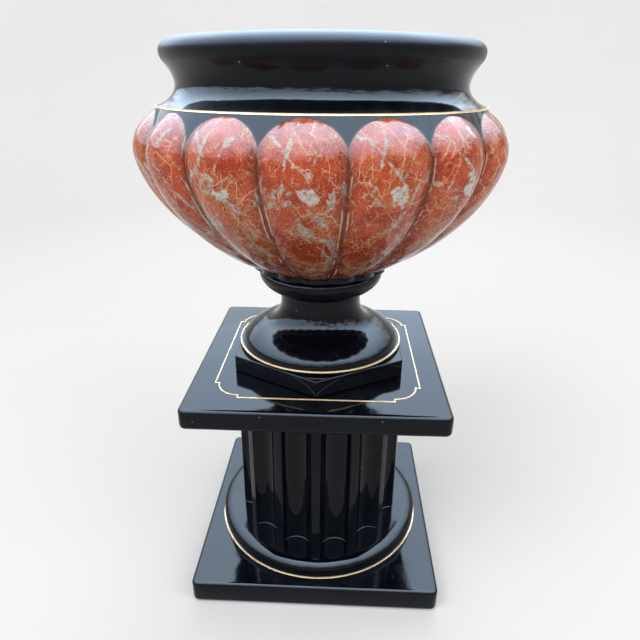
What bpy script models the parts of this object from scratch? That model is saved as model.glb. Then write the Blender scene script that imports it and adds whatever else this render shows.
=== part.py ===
"""Cachepot urn on a fluted pedestal, glazed ceramic. Metres, +Z up, origin on the floor under the centre."""
import bpy
import bmesh
from math import acos, atan, atan2, cos, pi, radians, sin, sqrt, tan
from mathutils import Vector

# Clearance left between two castings that touch
SEAT_GAP = 0.0003

# Fired gold lines
GOLD_WIDTH = 0.0024
GOLD_THICKNESS = 0.0006

# Pedestal, from the floor up
BASE_PLATE_THICKNESS = 0.032
BASE_PLATE_MARGIN = 0.0158
TOP_PLATE_THICKNESS = 0.026
PLATE_CORNER_RADIUS = 0.008
PLATE_TOP_EDGE = 0.0045
PLATE_FOOT_EDGE = 0.006
SHAFT_RADIUS = 0.1095
SHAFT_HEIGHT = 0.2046
SHAFT_WALL = 0.0097
PLAIN_BAND_HEIGHT = 0.028
FLUTE_COUNT = 14
FLUTE_WIDTH = 0.038
FLUTE_DEPTH = 0.0148
MOULDING_PROJECTION = 0.0295
MOULDING_HEIGHT = 0.0205
MOULDING_NOSE_WIDTH = 0.014
MOULDING_NOSE_HEIGHT = 0.0095

# Gold frame on the top plate
FRAME_MARGIN = 0.0017
FRAME_TO_PLATE_EDGE = 0.0302
FRAME_STEP = 0.0052
FRAME_ARC_RADIUS = 0.026

# Urn foot, from the top plate up
PLINTH_HEIGHT = 0.0207
PLINTH_EDGE = 0.0016
PLINTH_OVERHANG = 0.0008
FOOT_RADIUS = 0.102
FOOT_FILLET_HEIGHT = 0.0042
FOOT_FILLET_STEP = 0.004
BELL_TOE_ROUND = 0.012
BELL_TOE_SLOPE = radians(43.6)
BELL_LEAST_SLOPE = radians(15)
STEM_SWEEP_WIDTH = 0.0265
STEM_SWEEP_HEIGHT = 0.030
STEM_RADIUS = 0.0495
STEM_HEIGHT = 0.0115
FOOT_WALL = 0.009
COLLAR_SPREAD = 0.0255
COLLAR_SWELL = 0.0237
COLLAR_ROUND = 0.006

# Bowl, from the collar up
GROOVE_HEIGHT = 0.0027
GROOVE_DEPTH = 0.0045
LIP_SPREAD = 0.0115
LIP_HEIGHT = 0.0035
LOBE_COUNT = 16
LOBE_TURN = radians(-2.5)
LOBE_CREASE = 0.011
LOBE_FOOT_SPREAD = 0.002
LOBE_FOOT_RISE = 0.0044
LOBE_TOP_MARGIN = 0.0012
SCALLOP_DROP = 0.0218
SCALLOP_ROUND = 1.08
BELLY_RADIUS = 0.203
BELLY_DEPTH = 0.1537
BELLY_FULLNESS = 1.653
SHOULDER_RISE = 0.0419
SHOULDER_INSET = 0.0278
SHOULDER_SLOPE = 0.561
SHOULDER_FULLNESS = 2.5
BOWL_WALL = 0.008
BOWL_FLOOR = 0.012

# Neck and rim, from the shoulder up
NECK_INSET = 0.020
NECK_SWEEP = 0.040
NECK_THROAT_RISE = 0.0209
NECK_RISE = 0.0414
NECK_FLARE = 0.0098
NECK_FULLNESS = 1.7
NECK_WALL = 0.009
RIM_HEIGHT = 0.0204
RIM_UNDER_ROLL = 0.0150
RIM_ROLL = 0.0145
RIM_INNER_ROLL = 0.0035
RIM_WALL = 0.0183

# Facets
RING_STEPS = 48
STEPS_PER_FLUTE = 6
STEPS_PER_LOBE = 6

# Radii and heights that follow from the sizes above
shaft_bore = SHAFT_RADIUS - FLUTE_DEPTH - SHAFT_WALL
moulding_radius = SHAFT_RADIUS + MOULDING_PROJECTION
base_plate_half = moulding_radius + BASE_PLATE_MARGIN
moulding_z = BASE_PLATE_THICKNESS + SEAT_GAP
shaft_z = moulding_z + MOULDING_HEIGHT + SEAT_GAP
shaft_top_z = shaft_z + SHAFT_HEIGHT
top_plate_z = shaft_top_z + SEAT_GAP
pedestal_height = top_plate_z + TOP_PLATE_THICKNESS

# Heights from here on are measured from the underside of the urn
urn_z = pedestal_height + SEAT_GAP
plinth_radius = (FOOT_RADIUS - PLINTH_OVERHANG) / cos(pi / 6)
frame_half = plinth_radius + FRAME_MARGIN + GOLD_WIDTH / 2
top_plate_half = frame_half + FRAME_TO_PLATE_EDGE
foot_z = PLINTH_HEIGHT + SEAT_GAP
bell_radius = FOOT_RADIUS - FOOT_FILLET_STEP
foot_bore = bell_radius - FOOT_WALL
stem_bore = STEM_RADIUS - FOOT_WALL
fillet_top_z = foot_z + FOOT_FILLET_HEIGHT
sweep_turn = atan2(STEM_SWEEP_HEIGHT, STEM_SWEEP_WIDTH * tan(BELL_LEAST_SLOPE))
sweep_foot_radius = STEM_RADIUS + STEM_SWEEP_WIDTH * (1 - cos(sweep_turn))
bell_span = bell_radius - BELL_TOE_ROUND * (1 - sin(BELL_TOE_SLOPE)) - sweep_foot_radius
bell_round = bell_span / (sin(BELL_TOE_SLOPE) - sin(BELL_LEAST_SLOPE))
bell_crown_z = fillet_top_z + BELL_TOE_ROUND * cos(BELL_TOE_SLOPE) - bell_round * cos(BELL_TOE_SLOPE)
sweep_foot_z = bell_crown_z + bell_round * cos(BELL_LEAST_SLOPE)
stem_foot_z = sweep_foot_z + STEM_SWEEP_HEIGHT * sin(sweep_turn)
stem_top_z = stem_foot_z + STEM_HEIGHT
collar_z = stem_top_z + SEAT_GAP
collar_radius = STEM_RADIUS + COLLAR_SPREAD
collar_top_z = collar_z + COLLAR_SWELL + COLLAR_ROUND
groove_radius = collar_radius - GROOVE_DEPTH
bowl_z = collar_top_z + SEAT_GAP
lip_z = bowl_z + GROOVE_HEIGHT
lip_radius = groove_radius + LIP_SPREAD
lobe_foot_z = lip_z + LIP_HEIGHT + LOBE_FOOT_RISE
lobe_foot_radius = lip_radius + LOBE_FOOT_SPREAD
lobe_drop = BELLY_DEPTH * (1 - (lobe_foot_radius / BELLY_RADIUS) ** BELLY_FULLNESS) ** (1 / BELLY_FULLNESS)
belly_z = lobe_foot_z + lobe_drop
shoulder_radius = BELLY_RADIUS - SHOULDER_INSET
shoulder_z = belly_z + SHOULDER_RISE
lobe_top_rise = SHOULDER_RISE - GOLD_WIDTH / 2 - LOBE_TOP_MARGIN
crease = 1 - LOBE_CREASE / BELLY_RADIUS
neck_z = shoulder_z + SEAT_GAP
neck_radius = shoulder_radius - NECK_INSET
throat_z = neck_z + NECK_THROAT_RISE
rim_z = neck_z + NECK_RISE
rim_foot_radius = neck_radius + NECK_FLARE
rim_under_turn = atan(NECK_FULLNESS * NECK_FLARE / (NECK_RISE - NECK_THROAT_RISE))
rim_radius = rim_foot_radius + RIM_UNDER_ROLL * (1 - cos(rim_under_turn))
rim_widest_z = rim_z + RIM_UNDER_ROLL * sin(rim_under_turn)
rim_top_z = rim_z + RIM_HEIGHT


def clear_scene():
    for old in list(bpy.data.objects):
        bpy.data.objects.remove(old, do_unlink=True)


def make_material(name, colour, roughness, metallic):
    material = bpy.data.materials.new(name)
    material.use_nodes = True
    shader = material.node_tree.nodes["Principled BSDF"]
    shader.inputs["Base Color"].default_value = (*colour, 1.0)
    shader.inputs["Roughness"].default_value = roughness
    shader.inputs["Metallic"].default_value = metallic
    return material


def add_object(name, mesh, material=None, parent=None):
    thing = bpy.data.objects.new(name, mesh)
    bpy.context.scene.collection.objects.link(thing)
    if material:
        mesh.materials.append(material)
    if parent:
        thing.parent = parent
    return thing


def finished_mesh(name, shape, smooth_angle=None):
    """Turn a bmesh into a mesh with its faces outward, smooth up to an angle if one is given."""
    bmesh.ops.recalc_face_normals(shape, faces=shape.faces)
    mesh = bpy.data.meshes.new(name)
    shape.to_mesh(mesh)
    shape.free()
    if smooth_angle:
        mesh.shade_smooth()
        mesh.set_sharp_from_angle(angle=smooth_angle)
    return mesh


def lofted(name, rings, smooth_angle=None):
    """Join rings of points into a closed solid, with a flat face over the first and the last ring."""
    shape = bmesh.new()
    loops = [[shape.verts.new(point) for point in ring] for ring in rings]
    for lower, upper in zip(loops, loops[1:]):
        for i in range(len(lower)):
            shape.faces.new((lower[i - 1], lower[i], upper[i], upper[i - 1]))
    shape.faces.new(loops[0])
    shape.faces.new(loops[-1])
    return finished_mesh(name, shape, smooth_angle)


def prism(name, outline, bottom, top):
    return lofted(name, [[(x, y, z) for x, y in outline] for z in (bottom, top)])


def polygon(radius, sides, first=0.0):
    turn = 2 * pi / sides
    return [(radius * cos(first + turn * i), radius * sin(first + turn * i)) for i in range(sides)]


def turned(name, profile, material, parent=None, steps=RING_STEPS):
    """Turn a closed (radius, height) outline about Z. It runs down its outer side and up its inner one."""
    shape = bmesh.new()
    verts = [shape.verts.new((r, 0, z)) for r, z in profile]
    for i in range(len(verts)):
        shape.edges.new((verts[i - 1], verts[i]))
    mesh = bpy.data.meshes.new(name)
    shape.to_mesh(mesh)
    shape.free()
    thing = add_object(name, mesh, material, parent)
    screw = thing.modifiers.new("turn", "SCREW")
    screw.axis = "Z"
    screw.steps = steps
    screw.render_steps = steps
    screw.use_merge_vertices = True
    screw.merge_threshold = 0.00001
    screw.use_smooth_shade = True
    return thing


def arc(centre, radius_r, radius_z, start, end, steps):
    """Elliptic arc in the (radius, height) plane, with angles in degrees from the outer side."""
    points = []
    for i in range(steps + 1):
        angle = radians(start + (end - start) * i / steps)
        points.append((centre[0] + radius_r * cos(angle), centre[1] + radius_z * sin(angle)))
    return points


def cut(thing, cutter):
    cutter.hide_render = True
    cutter.display_type = "WIRE"
    boolean = thing.modifiers.new("cut", "BOOLEAN")
    boolean.operation = "DIFFERENCE"
    boolean.solver = "EXACT"
    boolean.object = cutter


def rounded_square(half, corner, steps=4):
    points = []
    for quarter in range(4):
        for i in range(steps + 1):
            angle = pi / 2 * (quarter + i / steps)
            side_x = 1 if quarter in (0, 3) else -1
            side_y = 1 if quarter in (0, 1) else -1
            x = side_x * (half - corner) + corner * cos(angle)
            y = side_y * (half - corner) + corner * sin(angle)
            points.append((x, y))
    return points


def plate(name, half, bottom, thickness, material):
    """Square slab with rounded corners, a fine round along its top edge and a wider one along its foot."""
    top = bottom + thickness
    edge = arc((-PLATE_FOOT_EDGE, bottom + PLATE_FOOT_EDGE), PLATE_FOOT_EDGE, PLATE_FOOT_EDGE, -90, 0, 3)
    edge += arc((-PLATE_TOP_EDGE, top - PLATE_TOP_EDGE), PLATE_TOP_EDGE, PLATE_TOP_EDGE, 0, 90, 3)
    rings = []
    for offset, z in edge:
        corner = max(PLATE_CORNER_RADIUS + offset, PLATE_CORNER_RADIUS / 4)
        rings.append([(x, y, z) for x, y in rounded_square(half + offset, corner)])
    return add_object(name, lofted(name, rings, radians(35)), material)


def make_base_plate(material):
    base = plate("base_plate", base_plate_half, 0, BASE_PLATE_THICKNESS, material)
    well = prism("base_plate_well", polygon(shaft_bore, RING_STEPS), -SHAFT_WALL, moulding_z + SHAFT_WALL)
    cut(base, add_object("base_plate_well", well))


def make_base_moulding(material):
    """Low moulding under the shaft: a flat top, a round nose and an upright side."""
    top = moulding_z + MOULDING_HEIGHT
    profile = [(shaft_bore, top)]
    profile += arc((moulding_radius - MOULDING_NOSE_WIDTH, top - MOULDING_NOSE_HEIGHT), MOULDING_NOSE_WIDTH,
                   MOULDING_NOSE_HEIGHT, 90, 0, 6)
    profile += [(moulding_radius, moulding_z), (shaft_bore, moulding_z)]
    turned("base_moulding", profile, material)


def make_fluted_shaft(material):
    """Hollow column with round flutes that run down to the moulding and stop under a plain band."""
    profile = [(SHAFT_RADIUS, shaft_top_z), (SHAFT_RADIUS, shaft_z), (shaft_bore, shaft_z),
               (shaft_bore, shaft_top_z)]
    shaft = turned("fluted_shaft", profile, material, steps=FLUTE_COUNT * STEPS_PER_FLUTE)
    shape = bmesh.new()
    for flute in range(FLUTE_COUNT):
        middle = 2 * pi * (flute + 0.5) / FLUTE_COUNT - pi / 2
        rings = []
        for z in (shaft_z - FLUTE_DEPTH, shaft_top_z - PLAIN_BAND_HEIGHT):
            rings.append([shape.verts.new((x * cos(middle) - y * sin(middle), x * sin(middle) + y * cos(middle), z))
                          for x, y in flute_outline()])
        for i in range(len(rings[0])):
            shape.faces.new((rings[0][i - 1], rings[0][i], rings[1][i], rings[1][i - 1]))
        shape.faces.new(rings[0])
        shape.faces.new(rings[1])
    cut(shaft, add_object("shaft_flutes", finished_mesh("shaft_flutes", shape)))


def flute_outline():
    """Section of one flute on the +X side: a round bar that leaves the flute's width and depth."""
    half = FLUTE_WIDTH / 2
    mouth = sqrt(SHAFT_RADIUS ** 2 - half ** 2)
    depth = mouth - (SHAFT_RADIUS - FLUTE_DEPTH)
    bar = (half ** 2 + depth ** 2) / (2 * depth)
    centre = SHAFT_RADIUS - FLUTE_DEPTH + bar
    opening = acos((centre - mouth) / bar) * 180 / pi
    outline = arc((centre, 0), bar, bar, 180 + opening, 180 - opening, 8)
    return [(SHAFT_RADIUS + FLUTE_DEPTH, -half)] + outline + [(SHAFT_RADIUS + FLUTE_DEPTH, half)]


def frame_outline():
    """Square line whose corners step in and swing round in a quarter circle."""
    corner = frame_half - FRAME_STEP - FRAME_ARC_RADIUS
    quarter = [(frame_half, corner)]
    quarter += arc((corner, corner), FRAME_ARC_RADIUS, FRAME_ARC_RADIUS, 0, 90, 5)
    quarter += [(corner, frame_half)]
    points = []
    for _ in range(4):
        points += quarter
        quarter = [(-y, x) for x, y in quarter]
    return points


def offset_outline(points, distance):
    """Move each side of a closed outline outward by a distance, with mitred corners."""
    moved = []
    for i, point in enumerate(points):
        before = Vector(point) - Vector(points[i - 1])
        after = Vector(points[(i + 1) % len(points)]) - Vector(point)
        mitre = Vector((before.y, -before.x)).normalized() + Vector((after.y, -after.x)).normalized()
        moved.append(Vector(point) + mitre * (distance * 2 / mitre.length_squared))
    return moved


def make_top_plate_frame(material):
    low = pedestal_height + SEAT_GAP
    high = low + GOLD_THICKNESS
    outer = offset_outline(frame_outline(), GOLD_WIDTH / 2)
    inner = offset_outline(frame_outline(), -GOLD_WIDTH / 2)
    shape = bmesh.new()
    loops = []
    for points, z in ((outer, low), (outer, high), (inner, high), (inner, low)):
        loops.append([shape.verts.new((point.x, point.y, z)) for point in points])
    for k in range(4):
        for i in range(len(outer)):
            shape.faces.new((loops[k - 1][i - 1], loops[k - 1][i], loops[k][i], loops[k][i - 1]))
    add_object("top_plate_gold_frame", finished_mesh("top_plate_gold_frame", shape), material)


def make_gold_line(name, wall_radius, bottom, spread, height, material, parent=None):
    """Flat ring of gold round an upright wall."""
    inner = wall_radius + SEAT_GAP
    outer = inner + spread
    top = bottom + height
    turned(name, [(outer, top), (outer, bottom), (inner, bottom), (inner, top)], material, parent)


def make_plinth(material, parent):
    """Six-sided plinth with a corner to the front, bored through under the hollow foot."""
    outline = polygon(plinth_radius, 6, -pi / 2)
    plinth = add_object("hex_plinth", prism("hex_plinth", outline, 0, PLINTH_HEIGHT), material, parent)
    bevel = plinth.modifiers.new("edges", "BEVEL")
    bevel.width = PLINTH_EDGE
    bevel.segments = 2
    well = prism("hex_plinth_bore", polygon(foot_bore, RING_STEPS), -FOOT_WALL, PLINTH_HEIGHT + FOOT_WALL)
    cut(plinth, add_object("hex_plinth_bore", well, None, parent))


def bell_curve(inset):
    """Points up the bell's toe, its dome and the sweep to the stem, moved in square to the surface."""
    curve = []
    for i in range(4):
        slope = pi / 2 + (BELL_TOE_SLOPE - pi / 2) * i / 3
        curve.append((bell_radius - BELL_TOE_ROUND * (1 - sin(slope)), fillet_top_z + BELL_TOE_ROUND * cos(slope),
                      slope))
    for i in range(1, 4):
        slope = BELL_TOE_SLOPE + (BELL_LEAST_SLOPE - BELL_TOE_SLOPE) * i / 3
        curve.append((sweep_foot_radius + bell_round * (sin(slope) - sin(BELL_LEAST_SLOPE)),
                      bell_crown_z + bell_round * cos(slope), slope))
    for i in range(1, 7):
        angle = sweep_turn * (1 - i / 6)
        slope = atan2(STEM_SWEEP_HEIGHT * cos(angle), STEM_SWEEP_WIDTH * sin(angle))
        curve.append((STEM_RADIUS + STEM_SWEEP_WIDTH * (1 - cos(angle)), stem_foot_z - STEM_SWEEP_HEIGHT * sin(angle),
                      slope))
    return [(r - inset * sin(slope), z - inset * cos(slope)) for r, z, slope in curve]


def make_bell_foot(material, parent):
    """Fillet, low domed bell and swept stem in one hollow casting with an even wall."""
    profile = [(STEM_RADIUS, stem_top_z)]
    profile += reversed(bell_curve(0))
    profile += [(FOOT_RADIUS, fillet_top_z), (FOOT_RADIUS, foot_z), (foot_bore, foot_z)]
    profile += bell_curve(FOOT_WALL)
    profile.append((stem_bore, stem_top_z))
    turned("bell_foot", profile, material, parent)


def make_collar(material, parent):
    """Ring that swells out from the stem and rolls in under the bowl."""
    widest_z = collar_top_z - COLLAR_ROUND
    lowest = acos(STEM_RADIUS / collar_radius)
    swell = COLLAR_SWELL / sin(lowest)
    profile = arc((groove_radius, widest_z), GROOVE_DEPTH, COLLAR_ROUND, 90, 0, 3)
    profile += arc((0, widest_z), collar_radius, swell, 0, -lowest * 180 / pi, 7)[1:]
    profile += [(stem_bore, collar_z), (stem_bore, collar_top_z)]
    turned("stem_collar", profile, material, parent)


def crest_below(drop):
    """Radius of a lobe's crest below the belly, along a superellipse."""
    return BELLY_RADIUS * (1 - (drop / BELLY_DEPTH) ** BELLY_FULLNESS) ** (1 / BELLY_FULLNESS)


def cone_radius(rise):
    """Radius of the plain sloping shoulder that the lobes run out into."""
    return shoulder_radius + (SHOULDER_RISE - rise) * SHOULDER_SLOPE


def lobe_share(angle):
    """Radius of a lobe's round section at an angle from its crest, as a share of the crest's radius."""
    centre = (1 - crease ** 2) / (2 * (1 - crease * cos(pi / LOBE_COUNT)))
    return centre * cos(angle) + sqrt((1 - centre) ** 2 - (centre * sin(angle)) ** 2)


def scallop_rise(angle):
    """Height above the belly where a lobe ends on the sloping shoulder, at an angle from its crest."""
    across = angle * LOBE_COUNT / pi
    fall = SCALLOP_ROUND - sqrt(SCALLOP_ROUND ** 2 - across ** 2)
    return lobe_top_rise - SCALLOP_DROP * fall / (SCALLOP_ROUND - sqrt(SCALLOP_ROUND ** 2 - 1))


def lobe_above(widest, top, rise):
    """Radius of a lobe above the belly, along a superellipse that meets the sloping shoulder at its top."""
    reach = (1 - (cone_radius(top) / widest) ** SHOULDER_FULLNESS) ** (1 / SHOULDER_FULLNESS)
    return widest * (1 - (reach * rise / top) ** SHOULDER_FULLNESS) ** (1 / SHOULDER_FULLNESS)


def bowl_outside(angle):
    """Outer (radius, height) points of the bowl in one upright plane, from its underside to the shoulder."""
    share = lobe_share(angle)
    points = [(groove_radius, bowl_z), (groove_radius, lip_z), (lip_radius * share, lip_z)]
    points.append((lip_radius * share, lip_z + LIP_HEIGHT))
    for step in range(7):
        drop = lobe_drop * (1 - step / 7)
        points.append((crest_below(drop) * share, belly_z - drop))
    top = scallop_rise(angle)
    for step in range(5):
        rise = top * sin(pi / 2 * step / 4)
        points.append((lobe_above(BELLY_RADIUS * share, top, rise), belly_z + rise))
    points.append((shoulder_radius, shoulder_z))
    return points


def bowl_inside():
    """Inner (radius, height) points of the bowl, from its mouth down to its flat floor."""
    notch = scallop_rise(pi / LOBE_COUNT)
    widest = BELLY_RADIUS * crease - BOWL_WALL
    depth = BELLY_DEPTH - BOWL_WALL
    points = [(shoulder_radius - NECK_WALL, shoulder_z), (cone_radius(notch) - BOWL_WALL, belly_z + notch)]
    deepest = belly_z - bowl_z - BOWL_FLOOR
    for step in range(6):
        drop = deepest * step / 5
        radius = widest * (1 - (drop / depth) ** BELLY_FULLNESS) ** (1 / BELLY_FULLNESS)
        points.append((radius, belly_z - drop))
    return points


def make_bowl(material, parent):
    """Shell with round lobes outside, which run out into a plain sloping shoulder, and a smooth inside."""
    steps = LOBE_COUNT * STEPS_PER_LOBE
    columns = []
    for i in range(steps):
        from_crest = 2 * pi * (i % STEPS_PER_LOBE) / steps
        if from_crest > pi / LOBE_COUNT:
            from_crest = 2 * pi / LOBE_COUNT - from_crest
        angle = 2 * pi * i / steps + LOBE_TURN - pi / 2
        columns.append([(r * cos(angle), r * sin(angle), z)
                        for r, z in bowl_outside(from_crest) + bowl_inside()])
    add_object("gadrooned_bowl", lofted("gadrooned_bowl", zip(*columns), radians(30)), material, parent)


def make_shoulder_line(material, parent):
    """Gold line that wraps the arris where the sloping shoulder meets the neck."""
    inner = shoulder_radius + SEAT_GAP
    half = GOLD_WIDTH / 2
    lean = half * SHOULDER_SLOPE
    profile = [(inner + GOLD_THICKNESS, shoulder_z + half), (inner + GOLD_THICKNESS, shoulder_z)]
    profile += [(inner + GOLD_THICKNESS + lean, shoulder_z - half), (inner + lean, shoulder_z - half)]
    profile += [(inner, shoulder_z), (inner, shoulder_z + half)]
    turned("shoulder_gold_line", profile, material, parent, LOBE_COUNT * STEPS_PER_LOBE)


def make_neck_and_rim(material, parent):
    """Hollow-curved neck that swells out into a thick round rim, with its wall following the curve."""
    wall = []
    for i in range(4):
        share = 1 - i / 4
        wall.append((neck_radius + NECK_FLARE * share ** NECK_FULLNESS, throat_z + (rim_z - throat_z) * share))
    sweep = acos(1 - NECK_INSET / NECK_SWEEP)
    depth = NECK_THROAT_RISE / sin(sweep)
    wall += arc((neck_radius + NECK_SWEEP, throat_z), NECK_SWEEP, depth, 180, 180 + sweep * 180 / pi, 5)
    inner = rim_radius - RIM_WALL
    profile = arc((inner + RIM_INNER_ROLL, rim_top_z - RIM_INNER_ROLL), RIM_INNER_ROLL, RIM_INNER_ROLL, 180, 90, 2)
    profile += arc((rim_radius - RIM_ROLL, rim_widest_z), RIM_ROLL, rim_top_z - rim_widest_z, 90, 0, 5)
    profile += arc((rim_radius - RIM_UNDER_ROLL, rim_widest_z), RIM_UNDER_ROLL, RIM_UNDER_ROLL,
                   0, -rim_under_turn * 180 / pi, 3)[1:-1]
    profile += wall
    profile += [(r - NECK_WALL, z) for r, z in reversed(wall[3:])]
    profile.append((inner, rim_z))
    turned("neck_and_rim", profile, material, parent)


def build():
    clear_scene()
    black = make_material("black_glaze", (0.012, 0.012, 0.015), 0.08, 0.0)
    marble = make_material("red_marble_glaze", (0.45, 0.09, 0.045), 0.1, 0.0)
    gold = make_material("fired_gold", (0.86, 0.68, 0.38), 0.25, 1.0)

    make_base_plate(black)
    make_base_moulding(black)
    make_gold_line("base_gold_line", moulding_radius, moulding_z, GOLD_WIDTH, GOLD_THICKNESS, gold)
    make_fluted_shaft(black)
    plate("top_plate", top_plate_half, top_plate_z, TOP_PLATE_THICKNESS, black)
    make_top_plate_frame(gold)

    urn = bpy.data.objects.new("urn", None)
    bpy.context.scene.collection.objects.link(urn)
    urn.location = (0, 0, urn_z)
    make_plinth(black, urn)
    make_bell_foot(black, urn)
    make_gold_line("foot_gold_line", FOOT_RADIUS, fillet_top_z - GOLD_WIDTH, GOLD_THICKNESS, GOLD_WIDTH, gold, urn)
    make_collar(black, urn)
    make_bowl(marble, urn)
    make_shoulder_line(gold, urn)
    make_neck_and_rim(black, urn)


build()
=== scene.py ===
import bpy
import bmesh
from math import acos, atan, atan2, cos, pi, radians, sin, sqrt, tan
from mathutils import Matrix, Vector, noise


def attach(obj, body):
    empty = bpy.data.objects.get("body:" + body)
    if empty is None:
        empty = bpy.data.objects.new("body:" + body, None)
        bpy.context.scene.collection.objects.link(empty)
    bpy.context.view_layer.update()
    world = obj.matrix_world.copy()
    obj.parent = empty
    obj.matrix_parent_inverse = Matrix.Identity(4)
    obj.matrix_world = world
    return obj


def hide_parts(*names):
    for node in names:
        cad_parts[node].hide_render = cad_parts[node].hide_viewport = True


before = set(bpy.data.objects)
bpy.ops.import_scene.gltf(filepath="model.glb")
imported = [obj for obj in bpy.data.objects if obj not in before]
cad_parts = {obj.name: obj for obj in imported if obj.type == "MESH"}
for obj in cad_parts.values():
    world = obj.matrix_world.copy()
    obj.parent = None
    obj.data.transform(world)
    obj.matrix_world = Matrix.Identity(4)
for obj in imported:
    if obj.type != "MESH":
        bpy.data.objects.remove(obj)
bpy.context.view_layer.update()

# Camera, fitted to the photograph
CAMERA_SPOT = (0.0253, -0.6433, 0.6127)
CAMERA_HEADING = radians(2.3)
CAMERA_TILT_DOWN = radians(23.79)
CAMERA_ROLL = radians(0.4)
CAMERA_LENS = 30.79
CAMERA_SENSOR = 36

# Gold lines, and the gap under each casting, in metres as all that follows
GOLD_WIDTH = 0.0024
GOLD_THICKNESS = 0.0006
SHOULDER_LINE_WIDTH = 0.0016
BASE_LINE_WIDTH = 0.0016
FOOT_LINE_WIDTH = 0.0019
FRAME_LINE_WIDTH = 0.0019
SEAT_GAP = 0.0003

# Pedestal, from the floor up
BASE_PLATE_THICKNESS = 0.032
BASE_PLATE_MARGIN = 0.0158
TOP_PLATE_THICKNESS = 0.026
PLATE_CORNER_RADIUS = 0.008
PLATE_TOP_EDGE = 0.0045
PLATE_FOOT_EDGE = 0.006
SHAFT_RADIUS = 0.1095
SHAFT_HEIGHT = 0.2046
SHAFT_WALL = 0.0097
PLAIN_BAND_HEIGHT = 0.028
FLUTE_COUNT = 14
FLUTE_WIDTH = 0.038
FLUTE_DEPTH = 0.0148
FLUTE_ARRIS = 0.0012
FLUTE_END_ROUND = 0.0025
FLUTE_FOOT_ROUND = 0.002
MOULDING_PROJECTION = 0.0295
MOULDING_HEIGHT = 0.0205
MOULDING_NOSE_WIDTH = 0.014
MOULDING_NOSE_HEIGHT = 0.0095
FRAME_MARGIN = 0.0017
FRAME_TO_PLATE_EDGE = 0.0302
FRAME_STEP = 0.0052
FRAME_ARC_RADIUS = 0.026

# Urn, from its foot up
PLINTH_HEIGHT = 0.0207
PLINTH_EDGE = 0.0016
PLINTH_OVERHANG = 0.0008
FOOT_RADIUS = 0.102
FOOT_FILLET_HEIGHT = 0.0042
FOOT_FILLET_STEP = 0.004
BELL_TOE_ROUND = 0.012
BELL_TOE_SLOPE = radians(43.6)
BELL_LEAST_SLOPE = radians(15)
STEM_SWEEP_WIDTH = 0.0265
STEM_SWEEP_HEIGHT = 0.030
STEM_RADIUS = 0.0495
STEM_HEIGHT = 0.0115
FOOT_WALL = 0.009
COLLAR_SPREAD = 0.0255
COLLAR_SWELL = 0.0237
COLLAR_ROUND = 0.006
GROOVE_HEIGHT = 0.0027
GROOVE_DEPTH = 0.0045
LIP_SPREAD = 0.0115
LIP_HEIGHT = 0.0035
LOBE_COUNT = 16
LOBE_TURN = radians(-2.5)
LOBE_CREASE = 0.011
LOBE_FOOT_SPREAD = 0.002
LOBE_FOOT_RISE = 0.0044
LOBE_TOP_MARGIN = 0.0012
SCALLOP_DROP = 0.0218
SCALLOP_ROUND = 1.08
VALLEY_AT_BELLY = 0.012
VALLEY_AT_FOOT = 0.026
BELLY_RADIUS = 0.203
BELLY_DEPTH = 0.1537
BELLY_FULLNESS = 1.653
SHOULDER_RISE = 0.0419
SHOULDER_INSET = 0.0278
SHOULDER_SLOPE = 0.561
SHOULDER_FULLNESS = 2.2
BOWL_WALL = 0.008
BOWL_FLOOR = 0.012
NECK_INSET = 0.020
NECK_SWEEP = 0.040
NECK_THROAT_RISE = 0.0209
NECK_RISE = 0.0414
NECK_FLARE = 0.0098
NECK_FULLNESS = 1.7
NECK_WALL = 0.009
RIM_HEIGHT = 0.0204
RIM_UNDER_ROLL = 0.0150
RIM_ROLL = 0.0145
RIM_INNER_ROLL = 0.0035
RIM_WALL = 0.0183

# Small forms and soft edges that only this drawing has
ARRIS = 0.0009
EASE_LIMIT = 0.4
SPARE_POINT_REACH = 1.5
SPARE_POINT_ROOM = 4
PLATE_UNDERSIDE_INSET = 0.012
PLATE_TOP_INSETS = (0.02, 0.04)
PLATE_FLAT_START = 0.001
PLATE_CENTRE_HOLE = 0.0005
MOULDING_FLAT_END = 0.006
BAND_FLAT_START = 0.003
BAND_FLAT_END = 0.002
GROOVE_ROUND_WIDTH = 0.0006
GROOVE_ROUND_HEIGHT = 0.0004
LIP_FOOT_EDGE = 0.001
LIP_TOP_EDGE = 0.0006
GOLD_BEVEL = 0.0005
GOLD_FLAT_TOP = 0.72
FOOT_LINE_OVERLAP = 0.0012
FRAME_WIDTH_STRAY = 0.0003
FRAME_PATH_STRAY = 0.00025
RING_STRAY = 0.12
STRAY_SCALE = 60

# How finely the pieces are drawn
RING_COLUMNS = 224
GOLD_COLUMNS = RING_COLUMNS * 2
PLATE_CORNER_STEPS = 6
PLATE_SIDE_STEPS = 12
FLUTE_FOOT_STEPS = 5
FLUTE_ROWS = (0.1, 0.5, 0.9)
FLUTE_END_STEPS = 8
FRAME_SIDE_STEPS = 12
LOBE_COLUMNS = 24
LOBE_START = 7
LOBE_ROWS = 64
LOBE_TOP_ROWS = 22
SHOULDER_ROWS = 4
BOWL_INNER_ROWS = 24
NECK_ROWS = 14
NECK_INNER_START = 6

# Each lobe's own slice of the flat marbling: how far apart they lie, and which comes first
LOBE_SLICE = 0.0035
FIRST_SLICE = 5

# Studio round the piece
FLOOR_COLUMNS = 96
FLOOR_INNER_RINGS = (0.001, 1.0)
FLOOR_RADIUS = 2.4
WALL_CURVE = 0.8
WALL_TOP = 1.1
ROOM_LIGHT = 0.62
LAMP_AIM = (0, 0, 0.35)
LAMPS = (("key_lamp", (-1.3, -1.5, 2.7), 1.8, 36),
         ("fill_lamp", (1.7, -1.2, 2.0), 1.6, 14),
         ("back_lamp", (0.3, 2.1, 2.4), 1.8, 20))


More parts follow.
